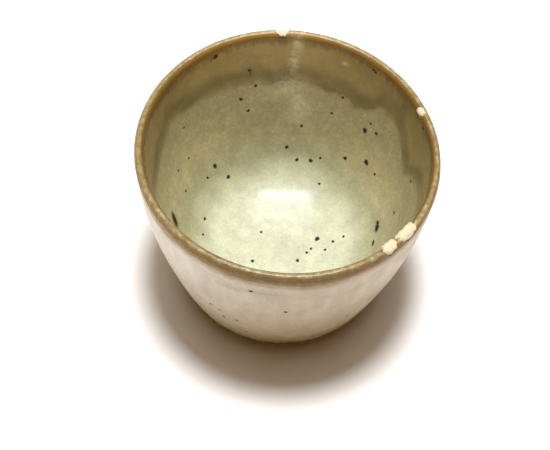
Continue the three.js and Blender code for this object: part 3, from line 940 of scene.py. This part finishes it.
def spot_mesh(name, section, scene, centres, coat_at):
    """Iron spots as thin closed lenses that follow the coat: each is a round grid of rings and spokes with a
    wavy rim, whose top is a low dome that sinks into the coat at the rim and whose underside is hidden in the
    coat. Centres give each spot's place along and around, its half width, its half length and the angle that
    it leans by. A spot is darkest in its middle, and a small one is paler."""
    sizes = scene.soba_sizes
    rings = np.array([0.02, 0.25, 0.5, 0.75, 0.95, 1.08, 1.2])
    spokes = np.arange(18) / 18 * WHOLE_TURN
    top, under = 0.035 * MM * (1 - (rings / 1.1) ** 4), np.full(rings.shape, -0.12 * MM)
    ring = np.concatenate([rings, rings[::-1]])[None, :, None]
    rise = np.concatenate([top, under])[None, :, None]
    tint = np.concatenate([np.clip(1.9 * (1 - rings**1.8), 0, 1), 0 * rings])[None, :, None]
    along, turn, half, tall, lean = (centres[:, k, None, None] for k in range(5))
    tint = tint * np.clip((half / (0.45 * MM)) ** 2, 0.4, 1)
    phase = np.arange(len(centres))[:, None, None] * 2.4
    wavy = 1 + (tall < 1.5 * half) * (0.1 * np.sin(2 * spokes + phase) + 0.08 * np.sin(3 * spokes + 2 * phase))
    down, sideways = tall * ring * wavy * np.sin(spokes), half * ring * wavy * np.cos(spokes)
    radius = np.maximum(np.interp(along, section.along, section.radius), 2 * MM)
    on_along = along + down * np.cos(lean) - sideways * np.sin(lean)
    on_turn = turn + (down * np.sin(lean) + sideways * np.cos(lean)) / radius
    lift = relief(section, sizes, on_along, on_turn) + coat_at(on_along) + rise
    points = placed(section, sizes, on_along, on_turn, lift)
    count, rows, around, _ = points.shape
    index = np.arange(count * rows * around).reshape(count, rows, around)
    ahead = np.roll(index, -1, axis=2)
    quads = np.stack([index[:, :-1], index[:, 1:], ahead[:, 1:], ahead[:, :-1]], axis=-1).reshape(-1, 4)
    fans = np.arange(1, around - 1)
    top_fan = np.stack([index[:, 0, :1] + 0 * fans, index[:, 0, fans], index[:, 0, fans + 1]], axis=-1)
    end_fan = np.stack([index[:, -1, :1] + 0 * fans, index[:, -1, fans + 1], index[:, -1, fans]], axis=-1)
    triangles = np.concatenate([top_fan.reshape(-1, 3), end_fan.reshape(-1, 3)])
    values = marks(section, scene, on_along, on_turn)
    values["iron"] = np.broadcast_to(tint, points.shape[:-1])
    return new_object(name, points.reshape(-1, 3), quads, triangles, values)


@functools.cache
def view_of_cup():
    """The glazed section on a fine grid, found once: each place's distance along and around, and where the
    camera sees it, which is infinitely far off for a place that faces away."""
    scene = bpy.context.scene
    sizes, studio = scene.soba_sizes, scene.soba_studio
    section = section_of(sizes)
    rows = np.linspace(section.outside_at(6 * MM), section.end, 900)
    along, turn = np.meshgrid(rows, np.linspace(-np.pi, np.pi, 1000), indexing="ij")
    points = placed(section, sizes, along, turn, sizes.glaze)
    slope = np.cross(np.gradient(points, axis=1), np.gradient(points, axis=0))
    facing = (slope * (np.array(camera_axes(studio)[3]) - points)).sum(-1) > 0
    return along, turn, np.where(facing[..., None], seen_at(studio, points), np.inf)


def places_seen(low, high, pixels):
    """The place along and around the cup of each pixel: of all places between two distances along the section
    that face the camera, the one that the camera sees nearest to it."""
    along, turn, seen = view_of_cup()
    rows = slice(*np.searchsorted(along[:, 0], (low, high)))
    along, turn, seen = along[rows], turn[rows], seen[rows]
    found = []
    for across, down, *_ in pixels:
        best = np.unravel_index(
            np.argmin(np.hypot(seen[..., 0] - across, seen[..., 1] - down)), along.shape
        )
        found.append((along[best], turn[best]))
    return np.array(found)


class IronSpots(bpy.types.Operator):
    """Makes the iron spots that bled through the glaze, as the photograph shows them and loosely elsewhere"""

    bl_idname = "soba_cup.iron_spots"
    bl_label = "Iron spots"

    def execute(self, context):
        scene, sizes = context.scene, context.scene.soba_sizes
        section = section_of(sizes)
        chance = np.random.default_rng(31)
        lip, foot = section.crest, section.outside_at(7 * MM)

        def shown(low, high, spots):
            half = np.array([wide for *_, wide in spots]) * SPOT_SPREAD / 2
            return np.column_stack([places_seen(low, high, spots), half, half, 0 * half])

        def shown_runs(low, high, runs):
            starts, ends = places_seen(low, high, runs), places_seen(low, high, [run[2:] for run in runs])
            middle, gap = (starts + ends) / 2, ends - starts
            gap[:, 1] *= np.interp(middle[:, 0], section.along, section.radius)
            half = np.array([wide for *_, wide in runs]) * SPOT_SPREAD / 2
            tall, lean = np.hypot(*gap.T) / 2 + half / 2, np.arctan2(gap[:, 1], gap[:, 0])
            return np.column_stack([middle, half, tall, lean])

        def loose(low, high, start, end, count):
            half = chance.uniform(0.25, 0.5, count) * MM
            return np.column_stack([
                chance.uniform(low, high, count), chance.uniform(start, end, count), half, half, 0 * half,
            ])

        inner = spot_mesh("inside_iron_spots", section, scene, np.vstack([
            shown(lip + 3 * MM, section.end, INSIDE_SPOTS),
            shown_runs(lip + 3 * MM, section.end, RUN_SPOTS),
            loose(lip + 9 * MM, lip + 45 * MM, -2.4, -0.8, 22),
        ]), lambda along: well_glaze(section, sizes, along))
        outer = spot_mesh("outside_iron_spots", section, scene, np.vstack([
            shown(foot, lip - 6 * MM, OUTSIDE_SPOTS), loose(foot, lip - 7 * MM, -0.6, 3.7, 34),
        ]), lambda along: sizes.glaze)
        # A spot is iron in the glaze round it, so it has that glaze's material and its own mark for the iron
        for piece, slot, glaze in (
            (inner, "green_glaze", "green_ash_glaze"), (outer, "milky_glaze", "milky_ash_glaze"),
        ):
            piece.data.materials.append(bpy.data.materials[glaze])
            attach(piece, "root")
        return {"FINISHED"}


def lamp(name, shape, place, size, power, height=0.0, aimed=False):
    """A soft lamp that faces straight down or at the cup; a rectangle is also given its height."""
    light = bpy.data.lights.new(name, "AREA")
    light.shape, light.size, light.size_y, light.energy = shape, size, height, power
    thing = bpy.data.objects.new(name, light)
    aim = Vector((0, 0, CUP_MIDDLE)) - Vector(place)
    faced = aim.to_track_quat("-Z", "Y").to_matrix().to_4x4() if aimed else Matrix()
    thing.matrix_world = Matrix.Translation(place) @ faced
    bpy.context.scene.collection.objects.link(thing)
    return thing


def lay_floor(studio, colours):
    """A pale square floor. Its light on the cup has the table's colour, and the camera sees it as pale as the
    backdrop says, so that it is nearly white and still takes the shadow."""
    corners = FLOOR_REACH * np.array([[-1, -1, 0], [1, -1, 0], [1, 1, 0], [-1, 1, 0]])
    floor = new_object("floor", corners, np.array([[0, 1, 2, 3]]), np.zeros((0, 3), int), {})
    # Matt paint on a flat board: it has no sheen, so it shows nothing but light and shadow
    material, tree = new_material("matt_white_paint")
    seen = add_node(tree, "ShaderNodeLightPath").outputs["Is Camera Ray"]
    shade = laid_over(tree, colours.table, [((*[studio.backdrop] * 3, 1), seen)])
    surface = add_node(tree, "ShaderNodeBsdfDiffuse", {"Color": shade})
    add_node(tree, "ShaderNodeOutputMaterial", {"Surface": surface.outputs[0]})
    floor.data.materials.append(material)
    return floor


def light_room(studio):
    """The world: white behind the cup, a dim warm light on it, and in its gloss a pale room that is brightest
    near the horizon."""
    world = bpy.data.worlds.new("studio")
    world.use_nodes = True
    tree = world.node_tree
    tree.nodes.clear()
    rays = add_node(tree, "ShaderNodeLightPath").outputs
    facing = add_node(tree, "ShaderNodeTexCoord").outputs["Generated"]
    rise = add_node(tree, "ShaderNodeSeparateXYZ", {0: facing}).outputs["Z"]
    pale = worked_out(tree, [(rise, 0.1, 0.7, 0.6, 0.2)])
    direct = add_node(
        tree, "ShaderNodeMath", {0: rays["Is Camera Ray"], 1: rays["Is Transmission Ray"]}, operation="MAXIMUM"
    ).outputs[0]
    unlit = add_node(
        tree, "ShaderNodeMath", {0: direct, 1: rays["Is Glossy Ray"]}, operation="MAXIMUM"
    ).outputs[0]
    shine = add_node(
        tree, "ShaderNodeMix", {0: rays["Is Glossy Ray"], 2: studio.room_light, 3: pale}
    ).outputs[0]
    strength = add_node(tree, "ShaderNodeMix", {0: direct, 2: shine, 3: 1.0}).outputs[0]
    shade = laid_over(tree, studio.room, [((1, 1, 1, 1), unlit)])
    sky = add_node(tree, "ShaderNodeBackground", {"Color": shade, "Strength": strength})
    add_node(tree, "ShaderNodeOutputWorld", {"Surface": sky.outputs[0]})
    return world


def hang_lamps(studio, floor):
    """The two lamps overhead, the window that shows in the gloss, and the low lamps round the cup, each of
    which lights all but the floor or the floor alone."""
    for name, (x, y, width), power in (
        ("top_lamp", TOP_LAMP, studio.top_power), ("wide_lamp", WIDE_LAMP, studio.wide_power),
    ):
        lamp(name, "DISK", (x, y, LAMP_HEIGHT), width, power).visible_glossy = False
    for x, y, width, depth, power in SHINE_LAMPS:
        shine = lamp("shine_lamp", "RECTANGLE", (x, y, WINDOW_HEIGHT), width, power, depth)
        shine.data.color = tuple(studio.window)[:3]
        shine.visible_diffuse = False
    lit = {}
    for aim, state in (("cup", "EXCLUDE"), ("table", "INCLUDE")):
        lit[aim] = bpy.data.collections.new(f"lamps_for_the_{aim}")
        lit[aim].objects.link(floor)
        lit[aim].collection_objects[0].light_linking.link_state = state
    for angle, power, shade, aim in SIDE_LAMPS:
        around = math.radians(angle)
        place = (SIDE_DISTANCE * math.cos(around), SIDE_DISTANCE * math.sin(around), SIDE_HEIGHT)
        side = lamp("side_lamp", "RECTANGLE", place, SIDE_WIDTH, power, SIDE_TALL, aimed=True)
        side.data.color = tuple(getattr(studio, shade))[:3]
        side.visible_glossy = side.visible_camera = False
        side.light_linking.receiver_collection = lit[aim]


def place_camera(studio):
    """The camera at the photograph's view."""
    across, upward, back, place = camera_axes(studio)
    camera = bpy.data.cameras.new("camera")
    camera.sensor_fit, camera.sensor_width, camera.lens = "HORIZONTAL", SENSOR_WIDTH, studio.lens
    camera.clip_start, camera.clip_end = NEAREST, FARTHEST
    viewer = bpy.data.objects.new("camera", camera)
    viewer.matrix_world = Matrix.Translation(place) @ Matrix((across, upward, back)).transposed().to_4x4()
    bpy.context.scene.collection.objects.link(viewer)
    return viewer


class Studio(bpy.types.Operator):
    """Makes the floor, the lamps, the pale background and the camera"""

    bl_idname = "soba_cup.studio"
    bl_label = "Studio"

    def execute(self, context):
        scene, studio = context.scene, context.scene.soba_studio
        floor = lay_floor(studio, scene.soba_colours)
        scene.world = light_room(studio)
        hang_lamps(studio, floor)
        scene.camera = place_camera(studio)
        scene.view_settings.view_transform = "Standard"
        return {"FINISHED"}


class CupPanel(bpy.types.Panel):
    """The cup's pieces, sizes and colours in the 3D view's sidebar."""

    bl_idname = "VIEW3D_PT_soba_cup"
    bl_label = "Soba Cup"
    bl_space_type = "VIEW_3D"
    bl_region_type = "UI"
    bl_category = "Soba Cup"

    def draw(self, context):
        for maker in MAKERS:
            self.layout.operator(maker.bl_idname)
        for group in (context.scene.soba_sizes, context.scene.soba_colours, context.scene.soba_studio):
            box = self.layout.box()
            for name in group.__annotations__:
                box.prop(group, name)


MAKERS = (ClayBody, InsideGlaze, OutsideGlaze, LipSlip, FootGlaze, IronSpots, Studio)
GROUPS = {"soba_sizes": CupSizes, "soba_colours": CupColours, "soba_studio": CupStudio}


def register():
    for made in (*GROUPS.values(), *MAKERS, CupPanel):
        bpy.utils.register_class(made)
    for name, group in GROUPS.items():
        setattr(bpy.types.Scene, name, bpy.props.PointerProperty(type=group))


def unregister():
    for name in GROUPS:
        delattr(bpy.types.Scene, name)
    for made in (CupPanel, *reversed(MAKERS), *reversed(GROUPS.values())):
        bpy.utils.unregister_class(made)


def main():
    """Makes every piece and the studio."""
    register()
    for maker in MAKERS:
        group, name = maker.bl_idname.split(".")
        getattr(getattr(bpy.ops, group), name)()


if __name__ == "__main__":
    main()
